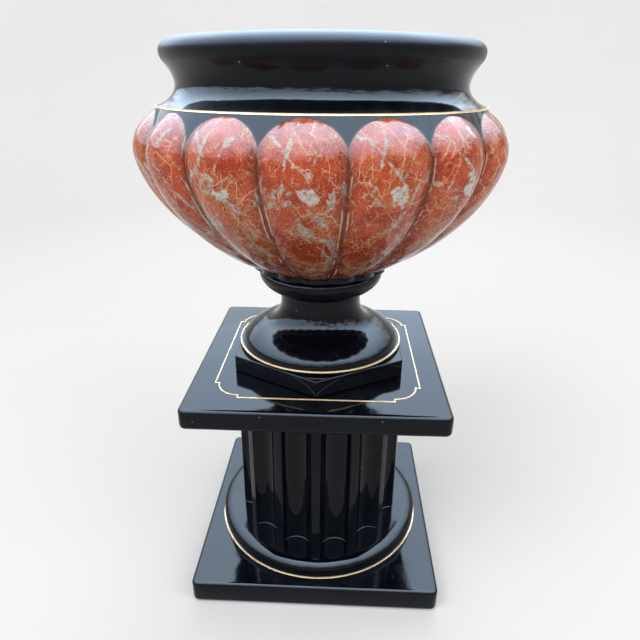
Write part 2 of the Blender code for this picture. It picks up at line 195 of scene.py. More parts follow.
def oval_reach(share, fullness):
    """How far out a fuller or leaner oval still reaches when it has risen by a share of its height."""
    return (1 - share ** fullness) ** (1 / fullness)


# Radii and heights that follow
shaft_bore = SHAFT_RADIUS - FLUTE_DEPTH - SHAFT_WALL
moulding_radius = SHAFT_RADIUS + MOULDING_PROJECTION
base_plate_half = moulding_radius + BASE_PLATE_MARGIN
moulding_z = BASE_PLATE_THICKNESS + SEAT_GAP
shaft_z = moulding_z + MOULDING_HEIGHT + SEAT_GAP
shaft_top_z = shaft_z + SHAFT_HEIGHT
top_plate_z = shaft_top_z + SEAT_GAP
pedestal_height = top_plate_z + TOP_PLATE_THICKNESS
urn_z = pedestal_height + SEAT_GAP
plinth_apothem = FOOT_RADIUS - PLINTH_OVERHANG
frame_half = plinth_apothem / cos(pi / 6) + FRAME_MARGIN + GOLD_WIDTH / 2
top_plate_half = frame_half + FRAME_TO_PLATE_EDGE
foot_z = urn_z + PLINTH_HEIGHT + SEAT_GAP
bell_radius = FOOT_RADIUS - FOOT_FILLET_STEP
foot_bore = bell_radius - FOOT_WALL
stem_bore = STEM_RADIUS - FOOT_WALL
fillet_top_z = foot_z + FOOT_FILLET_HEIGHT
sweep_turn = atan2(STEM_SWEEP_HEIGHT, STEM_SWEEP_WIDTH * tan(BELL_LEAST_SLOPE))
sweep_foot_radius = STEM_RADIUS + STEM_SWEEP_WIDTH * (1 - cos(sweep_turn))
bell_span = bell_radius - BELL_TOE_ROUND * (1 - sin(BELL_TOE_SLOPE)) - sweep_foot_radius
bell_round = bell_span / (sin(BELL_TOE_SLOPE) - sin(BELL_LEAST_SLOPE))
bell_crown_z = fillet_top_z + BELL_TOE_ROUND * cos(BELL_TOE_SLOPE) - bell_round * cos(BELL_TOE_SLOPE)
sweep_foot_z = bell_crown_z + bell_round * cos(BELL_LEAST_SLOPE)
stem_foot_z = sweep_foot_z + STEM_SWEEP_HEIGHT * sin(sweep_turn)
stem_top_z = stem_foot_z + STEM_HEIGHT
collar_z = stem_top_z + SEAT_GAP
collar_radius = STEM_RADIUS + COLLAR_SPREAD
collar_top_z = collar_z + COLLAR_SWELL + COLLAR_ROUND
groove_radius = collar_radius - GROOVE_DEPTH
bowl_z = collar_top_z + SEAT_GAP
lip_z = bowl_z + GROOVE_HEIGHT
lip_radius = groove_radius + LIP_SPREAD
lobe_foot_z = lip_z + LIP_HEIGHT + LOBE_FOOT_RISE
lobe_foot_radius = lip_radius + LOBE_FOOT_SPREAD
lobe_drop = BELLY_DEPTH * oval_reach(lobe_foot_radius / BELLY_RADIUS, BELLY_FULLNESS)
belly_z = lobe_foot_z + lobe_drop
shoulder_radius = BELLY_RADIUS - SHOULDER_INSET
shoulder_z = belly_z + SHOULDER_RISE
lobe_top_rise = SHOULDER_RISE - GOLD_WIDTH / 2 - LOBE_TOP_MARGIN
crease = 1 - LOBE_CREASE / BELLY_RADIUS
neck_z = shoulder_z + SEAT_GAP
neck_radius = shoulder_radius - NECK_INSET
throat_z = neck_z + NECK_THROAT_RISE
rim_z = neck_z + NECK_RISE
rim_foot_radius = neck_radius + NECK_FLARE
rim_under_turn = atan(NECK_FULLNESS * NECK_FLARE / (NECK_RISE - NECK_THROAT_RISE))
rim_radius = rim_foot_radius + RIM_UNDER_ROLL * (1 - cos(rim_under_turn))
rim_widest_z = rim_z + RIM_UNDER_ROLL * sin(rim_under_turn)
rim_top_z = rim_z + RIM_HEIGHT


class Value:
    """One number in a material. Python's own arithmetic on it adds the Math nodes."""

    def __init__(self, finish, socket):
        self.finish = finish
        self.socket = socket

    def math(self, operation, *others):
        node = self.finish.tree.nodes.new("ShaderNodeMath")
        node.operation = operation
        for socket, other in zip(node.inputs, others):
            self.finish.feed(socket, other)
        return Value(self.finish, node.outputs[0])

    def __add__(self, other):
        return self.math("ADD", self, other)

    def __sub__(self, other):
        return self.math("SUBTRACT", self, other)

    def __rsub__(self, other):
        return self.math("SUBTRACT", other, self)

    def __mul__(self, other):
        return self.math("MULTIPLY", self, other)

    def __abs__(self):
        return self.math("ABSOLUTE", self)

    def most(self, other):
        return self.math("MAXIMUM", self, other)

    __radd__ = __add__
    __rmul__ = __mul__


class Finish:
    """The node tree of one material, or of the world."""

    def __init__(self, owner):
        owner.use_nodes = True
        self.owner = owner
        self.tree = owner.node_tree

    def feed(self, socket, value):
        if isinstance(value, Value):
            self.tree.links.new(value.socket, socket)
        elif isinstance(value, (tuple, list)) and socket.type == "RGBA":
            socket.default_value = (*value, 1.0)
        else:
            socket.default_value = value

    def node(self, kind, settings=None, sockets=None, result=None):
        """Add a node: its settings first, then its sockets' values or links. Returns one output."""
        node = self.tree.nodes.new(kind)
        for key, setting in (settings or {}).items():
            setattr(node, key, setting)
        for key, value in (sockets or {}).items():
            self.feed(next(s for s in node.inputs if s.name == key and s.enabled), value)
        outputs = [s for s in node.outputs if s.enabled and result in (None, s.name)]
        return Value(self, outputs[0])

    def step(self, value, low, high):
        """0 below low, 1 above high, and smooth between them. High may be the lower one."""
        return self.node("ShaderNodeMapRange", {"interpolation_type": "SMOOTHSTEP"},
                         {"Value": value, "From Min": low, "From Max": high})

    def between(self, share, low, high):
        return self.node("ShaderNodeMapRange", {}, {"Value": share, "To Min": low, "To Max": high})

    def tint(self, share, under, over):
        return self.node("ShaderNodeMix", {"data_type": "RGBA"}, {"Factor": share, "A": under, "B": over})

    def noise(self, place, scale, detail=2.0, roughness=0.5, result="Fac", twist=0.0):
        return self.node("ShaderNodeTexNoise", {},
                         {"Vector": place, "Scale": scale, "Detail": detail, "Roughness": roughness,
                          "Distortion": twist}, result)

    def cells(self, place, scale, feature="F1", result="Distance"):
        sockets = {"Vector": place, "Scale": scale}
        return self.node("ShaderNodeTexVoronoi", {"feature": feature}, sockets, result)

    def cell_edges(self, place, scale):
        return self.cells(place, scale, "DISTANCE_TO_EDGE")

    def cell_lot(self, place, scale, channel):
        """A number from 0 to 1 drawn for each cell, out of one channel of its colour."""
        colour = self.cells(place, scale, result="Color")
        return self.node("ShaderNodeSeparateColor", {}, {"Color": colour}, channel)

    def coordinate(self, output):
        return self.node("ShaderNodeTexCoord", {}, {}, output)

    def attribute(self, name, output):
        return self.node("ShaderNodeAttribute", {"attribute_name": name}, {}, output)

    def axis(self, place, letter):
        return self.node("ShaderNodeSeparateXYZ", {}, {"Vector": place}, letter)

    def leaning(self, place, across, along, stretch, shift):
        """A place turned by two angles in degrees and drawn out along its own Z."""
        return self.node("ShaderNodeMapping", {"vector_type": "TEXTURE"},
                         {"Vector": place, "Rotation": (radians(across), radians(along), 0),
                          "Scale": (1, 1, stretch), "Location": (shift, shift, shift)})

    def slanted(self, place, degrees, stretch, shift):
        """A place turned by some degrees and drawn out along its own Y."""
        return self.node("ShaderNodeMapping", {"vector_type": "TEXTURE"},
                         {"Vector": place, "Rotation": (0, 0, radians(degrees)), "Scale": (1, stretch, 1),
                          "Location": (shift, shift, 0)})

    def drifted(self, place, scale, amount, detail=2.0):
        """Push a place about by a noise, by up to half the amount each way."""
        push = self.noise(place, scale, detail, result="Color")
        centred = self.vector("SUBTRACT", push, (0.5, 0.5, 0.5))
        scaled = self.vector("MULTIPLY", centred, (amount, amount, amount))
        return self.vector("ADD", place, scaled)

    def vector(self, operation, first, second):
        node = self.tree.nodes.new("ShaderNodeVectorMath")
        node.operation = operation
        self.feed(node.inputs[0], first)
        self.feed(node.inputs[1], second)
        return Value(self, node.outputs[0])

    def surface(self, colour, roughness, normal, fixed):
        """Fill in the material's own Principled shader."""
        shader = self.tree.nodes["Principled BSDF"]
        self.feed(shader.inputs["Base Color"], colour)
        self.feed(shader.inputs["Roughness"], roughness)
        if normal:
            self.feed(shader.inputs["Normal"], normal)
        for key, value in fixed.items():
            shader.inputs[key].default_value = value
        return self.owner

    def bump(self, height, strength, distance, normal=None):
        sockets = {"Height": height, "Strength": strength, "Distance": distance}
        if normal:
            sockets["Normal"] = normal
        return self.node("ShaderNodeBump", {}, sockets)


def new_finish(name):
    return Finish(bpy.data.materials.new(name))


def black_glaze():
    """Black glaze with a slow wave, pinholes, a few pale specks, and a duller rim where hands wear it."""
    finish = new_finish("black_glaze_gloss")
    place = finish.coordinate("Object")
    cloud = finish.noise(place, 22.0, 3.0)
    pit_scale = 210.0
    pinhole = finish.step(finish.cells(place, pit_scale), 0.16, 0.07)
    pinhole = pinhole * finish.step(finish.cell_lot(place, pit_scale, "Red"), 0.955, 0.965)
    speck_scale = 120.0
    speck = finish.step(finish.cells(place, speck_scale), 0.085, 0.06)
    speck = speck * finish.step(finish.cell_lot(place, speck_scale, "Green"), 0.975, 0.98)
    colour = finish.tint(cloud, (0.0012, 0.0018, 0.0042), (0.0026, 0.0034, 0.0064))
    colour = finish.tint(speck * 0.55, colour, (0.55, 0.55, 0.52))
    height = finish.axis(place, "Z")
    worn = finish.step(height + finish.between(cloud, -0.006, 0.006), 0.618, 0.634)
    roughness = finish.between(finish.noise(place, 9.0, 4.0, 0.6), 0.02, 0.14) + pinhole * 0.3 + worn * 0.24
    wave = finish.bump(finish.noise(place, 17.0, 1.5), 0.22, 0.006)
    skin = finish.bump(finish.noise(place, 260.0), 0.05, 0.0006, wave)
    normal = finish.bump(1 - pinhole, 0.35, 0.0005, skin)
    return finish.surface(colour, roughness, normal, {"IOR": 1.25})


def bare_clay():
    """Dry buff clay with dark grains, where no glaze reached."""
    finish = new_finish("bare_clay_body")
    place = finish.coordinate("Object")
    grain = finish.noise(place, 900.0, 3.0, 0.7)
    cloud = finish.noise(place, 35.0, 4.0, 0.6)
    colour = finish.tint(cloud, (0.50, 0.43, 0.35), (0.62, 0.56, 0.47))
    colour = finish.tint(finish.step(grain, 0.66, 0.72) * 0.5, colour, (0.30, 0.23, 0.17))
    roughness = finish.between(cloud, 0.75, 0.9)
    return finish.surface(colour, roughness, finish.bump(grain, 0.3, 0.0006), {"IOR": 1.45})


def fired_gold():
    """Pale fired gold, streaked by the brush and thin in places."""
    finish = new_finish("fired_gold_line")
    place = finish.coordinate("Object")
    streak = finish.noise(place, 190.0, 4.0, 0.65)
    thin = finish.step(finish.noise(place, 420.0, 3.0, 0.6), 0.56, 0.70)
    colour = finish.tint(streak, (0.70, 0.47, 0.23), (0.84, 0.64, 0.39))
    colour = finish.tint(thin * 0.6, colour, (0.34, 0.17, 0.06))
    roughness = finish.between(streak, 0.28, 0.45)
    normal = finish.bump(streak, 0.25, 0.0004)
    return finish.surface(colour, roughness, normal, {"Metallic": 0.4, "IOR": 1.4})


class Marble(Finish):
    """Red marbled glaze. Each layer takes the colour so far and lays one more thing over it."""

    blot_scale = 27.0
    oval_scale = 17.0

    def __init__(self, material):
        super().__init__(material)
        self.place = self.coordinate("Object")
        self.flat = self.attribute("lobe_place", "Vector")
        self.from_crease = self.attribute("from_crease", "Fac")
        self.down = self.axis(self.flat, "Y")
        self.lower = self.step(self.down, 0.05, 0.12)
        swayed = self.drifted(self.flat, 34.0, 0.014, 3.0)
        self.frayed = self.drifted(swayed, 230.0, 0.0032, 3.0)
        self.crackled = self.drifted(self.place, 210.0, 0.0032, 3.0)
        self.mottle = self.noise(self.place, 330.0, 4.0, 0.75)
        self.patch = self.step(self.noise(self.place, 27.0, twist=0.8), 0.47, 0.58)
        self.blot_place = self.slanted(self.drifted(self.frayed, 110.0, 0.024, 4.0), 20, 1.3, 5.0)
        self.blot = self.cells(self.blot_place, self.blot_scale)
        self.oval_place = self.slanted(self.drifted(self.flat, 90.0, 0.006), 20, 1.35, 7.7)
        self.oval = self.cells(self.oval_place, self.oval_scale)

    def ground(self):
        """Clouded red, with painted shade that darkens it towards the foot."""
        cloud = self.noise(self.place, 45.0, 4.0, 0.6)
        colour = self.tint(self.step(cloud, 0.38, 0.62), (0.33, 0.030, 0.009), (0.49, 0.066, 0.020))
        # Painted shade: the red is tinted darker towards the foot, where the lower bowl faces down away from
        # the light.
        colour = self.tint(self.step(self.down, 0.09, 0.20) * 0.8, colour, (0.17, 0.017, 0.007))
        stain = self.step(self.noise(self.place, 95.0, 3.0), 0.58, 0.68)
        return self.tint(stain * 0.45, colour, (0.24, 0.022, 0.010))

    def crumbs(self, colour):
        """Orange crumbs, thickest in the lower patches and along the top edge, and sandy grit."""
        near_top = self.step(self.down, 0.015, 0.003)
        thick = (self.patch * self.between(self.lower, 0.35, 1.0)).most(near_top)
        crumbs = self.step(self.noise(self.crackled, 620.0, 3.0, 0.7), 0.55, 0.60)
        colour = self.tint(crumbs * self.between(thick, 0.38, 0.95), colour, (0.66, 0.31, 0.12))
        grit = self.step(self.cells(self.crackled, 330.0), 0.26, 0.16)
        grit = grit * self.step(self.noise(self.place, 150.0), 0.50, 0.56)
        return self.tint(grit * 0.8, colour, (0.66, 0.45, 0.29))

    def lace(self, colour):
        """Orange lace in patches, strongest in the lower half, and broken strokes all over."""
        lace = self.step(self.cell_edges(self.crackled, 205.0), 0.13, 0.05)
        lace = lace * self.patch * self.between(self.lower, 0.25, 0.85)
        colour = self.tint(lace, colour, (0.60, 0.28, 0.11))
        strokes = self.step(self.cell_edges(self.crackled, 105.0), 0.042, 0.014)
        broken = self.step(self.noise(self.place, 120.0, 3.0), 0.50, 0.57)
        return self.tint(strokes * broken * 0.75, colour, (0.63, 0.35, 0.19))

    def hair_lines(self, colour):
        """Cream hair lines in three slants."""
        for across, along, shift, scale in ((20, 24, 0.1, 26.0), (-24, -20, 0.4, 22.0), (12, -38, 0.9, 30.0)):
            lines = self.cell_edges(self.leaning(self.crackled, across, along, 2.4, shift), scale)
            kept = self.step(self.noise(self.place, 30.0 + scale, 1.0), 0.48, 0.55)
            colour = self.tint(self.step(lines, 0.010, 0.002) * kept * 0.85, colour, (0.66, 0.43, 0.27))
        return colour

    def grey_veins(self, colour):
        """Grey veins of uneven width down the lobes."""
        stone = self.tint(self.step(self.mottle, 0.36, 0.64), (0.25, 0.205, 0.155), (0.60, 0.53, 0.45))
        for slant, shift, scale in ((7, 2.1, 13.0), (-18, 3.3, 9.0)):
            lines = self.cell_edges(self.slanted(self.frayed, slant, 1.9, shift), scale)
            swell = self.between(self.noise(self.flat, 62.0, 5.0, 0.6), -0.050, 0.056)
            colour = self.tint(self.step(lines - swell, 0.008, -0.004) * 0.92, colour, stone)
        return colour

    def blotches(self, colour):
        """Milky blotches, smaller in the lower half, and olive ovals."""
        milk = self.tint(self.step(self.mottle, 0.34, 0.60), (0.38, 0.33, 0.27), (0.70, 0.66, 0.60))
        blots = self.step(self.blot + self.lower * 0.10, 0.28, 0.22)
        blots = blots * self.step(self.cell_lot(self.blot_place, self.blot_scale, "Blue"), 0.46, 0.49)
        colour = self.tint(blots * 0.95, colour, milk)
        olive = self.tint(self.mottle, (0.15, 0.13, 0.08), (0.42, 0.38, 0.29))
        ovals = self.step(self.oval, 0.13, 0.10)
        ovals = ovals * self.step(self.cell_lot(self.oval_place, self.oval_scale, "Red"), 0.60, 0.62)
        return self.tint(ovals * 0.9, colour, olive)

    def pepper(self, colour):
        """Black specks in the lower patches and round the blotches and ovals."""
        specked = (self.patch * self.lower).most(self.step(self.blot, 0.34, 0.22) * 0.5)
        specked = specked.most(self.step(self.oval, 0.20, 0.12))
        specks = self.step(self.cells(self.crackled, 380.0), 0.30, 0.20) * specked
        specks = specks * self.step(self.noise(self.place, 130.0), 0.57, 0.63)
        return self.tint(specks * 0.95, colour, (0.020, 0.013, 0.009))

    def smudges(self, colour):
        """Dark smudges along the top edge."""
        smudge = self.step(self.noise(self.flat, 85.0, 4.0, 0.65), 0.50, 0.60)
        smudge = smudge * self.step(self.down, 0.008, 0.001)
        soot = self.tint(self.mottle, (0.08, 0.05, 0.035), (0.46, 0.40, 0.32))
        return self.tint(smudge * 0.85, colour, soot)

    def painted_shade(self, colour):
        """Painted shade: darker towards the foot, in a broad band along each crease, and in a thin line in
        the crease itself.
        """
        # Painted shade towards the foot, where the bowl turns down away from the light.
        colour = self.tint(self.step(self.down, 0.0, 0.17) * 0.58, colour, (0.060, 0.008, 0.004))
        # Painted shade in a broad band along each crease.
        colour = self.tint(self.step(self.from_crease, 0.0120, 0.0) * 0.55, colour, (0.060, 0.010, 0.006))
        # Painted shade in a thin dark line in the crease, weaker in the lower half.
        crease_line_shade = self.step(self.from_crease, 0.0022, 0.0003) * self.between(self.lower, 0.6, 0.35)
        return self.tint(crease_line_shade, colour, (0.060, 0.014, 0.009))

    def edge_lines(self, colour):
        """A pale line beside each crease in places, partly the marbling's own edge and partly a painted
        highlight, and the black shoulder's edge over the top.
        """
        strayed = self.from_crease + self.between(self.noise(self.flat, 90.0), -0.0012, 0.0012)
        # Pale line beside the crease: partly the marbling's own edge, partly a painted highlight on the side
        # of the valley.
        pale_edge_and_highlight = self.step(abs(strayed - 0.0028), 0.0009, 0.0003)
        pale_edge_and_highlight = pale_edge_and_highlight * self.step(self.noise(self.flat, 38.0), 0.48, 0.54)
        colour = self.tint(pale_edge_and_highlight * 0.6, colour, (0.62, 0.46, 0.34))
        ragged = self.down + self.between(self.noise(self.flat, 220.0, 3.0), -0.0008, 0.0008)
        return self.tint(self.step(ragged, 0.0009, 0.0003), colour, (0.010, 0.008, 0.008))


def red_marble():
    glaze = Marble(bpy.data.materials.new("red_marble_gloss"))
    colour = glaze.ground()
    for layer in (glaze.crumbs, glaze.lace, glaze.hair_lines, glaze.grey_veins, glaze.blotches, glaze.pepper,
                  glaze.smudges, glaze.painted_shade, glaze.edge_lines):
        colour = layer(colour)
    roughness = glaze.between(glaze.noise(glaze.flat, 14.0, 3.0), 0.08, 0.16)
    wave = glaze.bump(glaze.noise(glaze.flat, 30.0), 0.5, 0.006)
    normal = glaze.bump(glaze.noise(glaze.place, 420.0), 0.05, 0.0005, wave)
    return glaze.surface(colour, roughness, normal, {"IOR": 1.31})


def arc(centre, radius_r, radius_z, start, end, steps):
    """Elliptic arc in the (radius, height) plane, with angles in degrees from the outer side."""
    points = []
    for i in range(steps + 1):
        angle = radians(start + (end - start) * i / steps)
        points.append((centre[0] + radius_r * cos(angle), centre[1] + radius_z * sin(angle)))
    return points


def eased(points, reach=ARRIS, steps=4, least_turn=radians(24)):
    """Round the corners of a closed outline, with a spare point beside each round so that flats stay flat."""
    out = []
    count = len(points)
    for i in range(count):
        here = Vector(points[i])
        back = Vector(points[i - 1]) - here
        ahead = Vector(points[(i + 1) % count]) - here
        if pi - back.angle(ahead) < least_turn:
            out.append(tuple(here))
            continue
        cut = min(reach, back.length * EASE_LIMIT, ahead.length * EASE_LIMIT)
        start = here + back.normalized() * cut
        end = here + ahead.normalized() * cut
        if back.length > SPARE_POINT_ROOM * cut:
            out.append(tuple(here + back.normalized() * cut * SPARE_POINT_REACH))
        for k in range(steps + 1):
            t = k / steps
            out.append(tuple(start * (1 - t) ** 2 + here * 2 * t * (1 - t) + end * t ** 2))
        if ahead.length > SPARE_POINT_ROOM * cut:
            out.append(tuple(here + ahead.normalized() * cut * SPARE_POINT_REACH))
    return out


def ring_faces(count, columns, wrap):
    """Four-sided faces from each ring to the next, and from the last back to the first if they wrap."""
    faces = []
    for row in range(count if wrap else count - 1):
        upper = (row + 1) % count
        for i in range(columns):
            k = (i + 1) % columns
            faces.append((row * columns + i, row * columns + k, upper * columns + k, upper * columns + i))
    return faces


def add_object(name, data):
    thing = bpy.data.objects.new(name, data)
    bpy.context.scene.collection.objects.link(thing)
    return thing


def show(name, rings, materials, body, node, wrap=True, mark=None, sharp=50):
    """Join rings of points into one smooth piece that stands for a CAD node and rides on its body.

    Mark gives the number of the material for the faces that start at a ring."""
    columns = len(rings[0])
    faces = ring_faces(len(rings), columns, wrap)
    marks = [mark(face[0] // columns) if mark else 0 for face in faces]
    if not wrap:
        last = (len(rings) - 1) * columns
        faces += [tuple(range(columns)), tuple(range(last, last + columns))]
        marks += [marks[0], marks[-1]]
    mesh = bpy.data.meshes.new(name)
    mesh.from_pydata([point for ring in rings for point in ring], [], faces)
    mesh.polygons.foreach_set("material_index", marks)
    shape = bmesh.new()
    shape.from_mesh(mesh)
    bmesh.ops.recalc_face_normals(shape, faces=shape.faces)
    shape.to_mesh(mesh)
    shape.free()
    mesh.shade_smooth()
    mesh.set_sharp_from_angle(angle=radians(sharp))
    for material in materials:
        mesh.materials.append(material)
    piece = add_object(name, mesh)
    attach(piece, body)
    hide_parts(node)
    return piece


def turned_rings(profile, columns=RING_COLUMNS):
    turns = [2 * pi * i / columns for i in range(columns)]
    return [[(r * cos(turn), r * sin(turn), z) for turn in turns] for r, z in profile]


def level_ring(points, z):
    return [(point.x, point.y, z) for point in points]


def rounded_polygon(apothem, sides, corner):
    """Regular polygon with a side facing +X and round corners."""
    turn = 2 * pi / sides
    reach = (apothem - corner) / cos(turn / 2)
    corners = []
    for k in range(sides):
        middle = turn * (k + 0.5)
        centre = Vector((reach * cos(middle), reach * sin(middle)))
        angles = [turn * (k + i / PLATE_CORNER_STEPS) for i in range(PLATE_CORNER_STEPS + 1)]
        corners.append([centre + Vector((corner * cos(a), corner * sin(a))) for a in angles])
    outline = []
    for k in range(sides):
        start = corners[k - 1][-1]
        end = corners[k][0]
        outline += [start.lerp(end, i / PLATE_SIDE_STEPS) for i in range(1, PLATE_SIDE_STEPS)]
        outline += corners[k]
    return outline


def plate_rings(half, sides, corner, bottom, top, foot_edge, top_edge, bore=0.0):
    """Slab with soft edges. Its outline shrinks evenly over the top, and ends in the bore if there is one."""
    edge = [(-foot_edge - PLATE_UNDERSIDE_INSET, bottom)]
    edge += arc((-foot_edge, bottom + foot_edge), foot_edge, foot_edge, -90, 0, steps=6)
    edge += arc((-top_edge, top - top_edge), top_edge, top_edge, 0, 90, steps=8)
    edge += [(-top_edge - PLATE_FLAT_START, top)] + [(-inset, top) for inset in PLATE_TOP_INSETS]
    rings = []
    for offset, z in edge:
        outline = rounded_polygon(half + offset, sides, max(corner + offset, corner / 4))
        rings.append(level_ring(outline, z))
    closing = bore or PLATE_CENTRE_HOLE
    angles = [atan2(point.y, point.x) for point in outline]
    mouth = [(closing * cos(a), closing * sin(a)) for a in angles]
    if bore:
        wide = [(x * (1 + ARRIS / bore), y * (1 + ARRIS / bore)) for x, y in mouth]
        rings.append([(x, y, top) for x, y in wide])
        rings += [[(x, y, z) for x, y in mouth] for z in (top - ARRIS, bottom + ARRIS)]
        rings.append([(x, y, bottom) for x, y in wide])
    else:
        rings.append([(x, y, top) for x, y in mouth])
        rings.insert(0, [(x, y, bottom) for x, y in mouth])
    return rings


def clay_within(rings):
    """Marks for a bored slab: clay underneath and in the bore, which its last four rings make."""
    return lambda row: 1 if row >= len(rings) - 4 or row == 0 else 0


def make_base_plate():
    rings = plate_rings(base_plate_half, 4, PLATE_CORNER_RADIUS, 0, BASE_PLATE_THICKNESS, PLATE_FOOT_EDGE,
                        PLATE_TOP_EDGE, shaft_bore)
    show("glazed_base_plate", rings, [black, clay], "pedestal", "base_plate",
         mark=clay_within(rings))


def make_base_moulding():
    top = moulding_z + MOULDING_HEIGHT
    crown = moulding_radius - MOULDING_NOSE_WIDTH
    profile = [(shaft_bore, top), (crown - MOULDING_FLAT_END, top)]
    nose_z = top - MOULDING_NOSE_HEIGHT
    profile += arc((crown, nose_z), MOULDING_NOSE_WIDTH, MOULDING_NOSE_HEIGHT, 90, 0, steps=28)
    profile += [(moulding_radius, moulding_z), (shaft_bore, moulding_z)]
    rings = turned_rings(eased(profile))
    show("glazed_base_moulding", rings, [black], "pedestal", "base_moulding")


def flute_section():
    """The shaft's section: round flutes cut into a circle, with soft arrises between them."""
    half = FLUTE_WIDTH / 2
    mouth = sqrt(SHAFT_RADIUS ** 2 - half ** 2)
    depth = mouth - (SHAFT_RADIUS - FLUTE_DEPTH)
    bar = (half ** 2 + depth ** 2) / (2 * depth)
    centre = SHAFT_RADIUS - FLUTE_DEPTH + bar
    opening = acos((centre - mouth) / bar) * 180 / pi
    hollow = arc((centre, 0), bar, bar, 180 + opening, 180 - opening, steps=22)
    edge = atan2(half, mouth)
    pitch = 2 * pi / FLUTE_COUNT
    land = arc((0, 0), SHAFT_RADIUS, SHAFT_RADIUS, edge * 180 / pi, (pitch - edge) * 180 / pi, steps=5)
    section = []
    for flute in range(FLUTE_COUNT):
        middle = pitch * (flute + 0.5) - pi / 2
        for x, y in hollow + land[1:-1]:
            section.append((x * cos(middle) - y * sin(middle), x * sin(middle) + y * cos(middle)))
    return eased(section, FLUTE_ARRIS, 5)


def part_way(start, end, length):
    """What share of the way from start to end a length makes, at most the whole of it."""
    return min(1, length / max((end - start).length, 1e-6))


def fluted_rings(section, circle):
    """Rings up the flutes, which fade out to the full circle at the foot and under the plain band."""
    flute_top = shaft_top_z - PLAIN_BAND_HEIGHT
    pairs = list(zip(section, circle))
    rings = []
    for k in range(FLUTE_FOOT_STEPS + 1):
        angle = pi / 2 * (1 - k / FLUTE_FOOT_STEPS)
        reach = FLUTE_FOOT_ROUND * (1 - cos(angle))
        spread = [p.lerp(c, part_way(p, c, reach)) for p, c in pairs]
        rings.append(level_ring(spread, shaft_z + FLUTE_FOOT_ROUND * (1 - sin(angle))))
    rings += [level_ring(section, shaft_z + (flute_top - shaft_z) * share) for share in FLUTE_ROWS]
    for k in range(FLUTE_END_STEPS + 1):
        angle = pi / 2 * k / FLUTE_END_STEPS
        spread = [p.lerp(c, (1 - cos(angle)) * part_way(p, c, FLUTE_END_ROUND)) for p, c in pairs]
        rings.append(level_ring(spread, flute_top - FLUTE_END_ROUND * (1 - sin(angle))))
    rings.append(level_ring([p.lerp(c, 1 - part_way(p, c, ARRIS)) for p, c in pairs], flute_top))
    band = (flute_top + ARRIS, flute_top + BAND_FLAT_START, shaft_top_z - BAND_FLAT_END, shaft_top_z - ARRIS)
    return rings + [level_ring(circle, z) for z in band]


def make_fluted_shaft():
    section = [Vector(point) for point in flute_section()]
    circle = [point.normalized() * SHAFT_RADIUS for point in section]
    bore = [point.normalized() * shaft_bore for point in section]
    rings = fluted_rings(section, circle)
    rings.append(level_ring([c * (1 - ARRIS / SHAFT_RADIUS) for c in circle], shaft_top_z))
    inside = len(rings)
    rings += [level_ring(bore, shaft_top_z), level_ring(bore, shaft_z)]
    show("glazed_fluted_shaft", rings, [black, clay], "pedestal", "fluted_shaft", sharp=40,
         mark=lambda row: 1 if row == inside else 0)


def make_top_plate():
    rings = plate_rings(top_plate_half, 4, PLATE_CORNER_RADIUS, top_plate_z, pedestal_height, PLATE_FOOT_EDGE,
                        PLATE_TOP_EDGE)
    show("glazed_top_plate", rings, [black], "pedestal", "top_plate", wrap=False)


def brush_stray(x, y, seed, amount):
    """How much a hand-drawn line strays at a point."""
    return amount * noise.noise(Vector((x, y, seed)) * STRAY_SCALE)


def make_gold_frame():
    corner = frame_half - FRAME_STEP - FRAME_ARC_RADIUS
    steps = FRAME_SIDE_STEPS
    quarter = [(frame_half, corner * k / steps) for k in range(-steps, steps + 1)]
    quarter += arc((corner, corner), FRAME_ARC_RADIUS, FRAME_ARC_RADIUS, 0, 90, steps=22)
    points = []
    for _ in range(4):
        points += quarter
        quarter = [(-y, x) for x, y in quarter]
    low = pedestal_height - SEAT_GAP / 2
    high = pedestal_height + GOLD_THICKNESS
    section = ((1, low), (GOLD_FLAT_TOP, high), (-GOLD_FLAT_TOP, high), (-1, low))
    rings = [[] for _ in section]
    for i, point in enumerate(points):
        here = Vector(point)
        before = (here - Vector(points[i - 1])).normalized()
        after = (Vector(points[(i + 1) % len(points)]) - here).normalized()
        mitre = Vector((before.y + after.y, -before.x - after.x))
        mitre *= 2 / mitre.length_squared
        half = FRAME_LINE_WIDTH / 2 + brush_stray(here.x, here.y, 1.5, FRAME_WIDTH_STRAY)
        here = here + mitre * brush_stray(here.x, here.y, 4.5, FRAME_PATH_STRAY)
        for ring, (share, z) in zip(rings, section):
            spot = here + mitre * half * share
            ring.append((spot.x, spot.y, z))
    show("gold_frame_line", rings, [gold], "pedestal", "top_plate_gold_frame")


def gold_ring(name, profile, body, node, seed):
    """Ring of gold whose section swells and thins a little along its way, as a banding brush leaves it."""
    middle = sum((Vector(point) for point in profile), Vector((0, 0))) / len(profile)
    rings = []
    for point in profile:
        ring = []
        for i in range(GOLD_COLUMNS):
            angle = 2 * pi * i / GOLD_COLUMNS
            swell = 1 + brush_stray(cos(angle), sin(angle), seed, RING_STRAY)
            spot = middle + (Vector(point) - middle) * swell
            ring.append((spot.x * cos(angle), spot.x * sin(angle), spot.y))
        rings.append(ring)
    show(name, rings, [gold], body, node)


def make_base_gold_line():
    low = BASE_PLATE_THICKNESS - SEAT_GAP / 2
    high = BASE_PLATE_THICKNESS + GOLD_THICKNESS
    inner = moulding_radius - SEAT_GAP
    outer = moulding_radius + BASE_LINE_WIDTH
    profile = [(inner, low), (outer, low), (outer - GOLD_BEVEL, high), (inner, high)]
    gold_ring("gold_base_line", profile, "pedestal", "base_gold_line", seed=1.2)


def make_foot_gold_line():
    top = fillet_top_z + SEAT_GAP / 2
    low = fillet_top_z - FOOT_LINE_WIDTH
    outer = FOOT_RADIUS + GOLD_THICKNESS
    profile = [(FOOT_RADIUS - FOOT_LINE_OVERLAP, top), (outer - SEAT_GAP, top), (outer, top - GOLD_BEVEL),
               (outer, low + GOLD_BEVEL), (FOOT_RADIUS - SEAT_GAP, low)]
    gold_ring("gold_foot_line", profile, "urn", "foot_gold_line", seed=2.7)


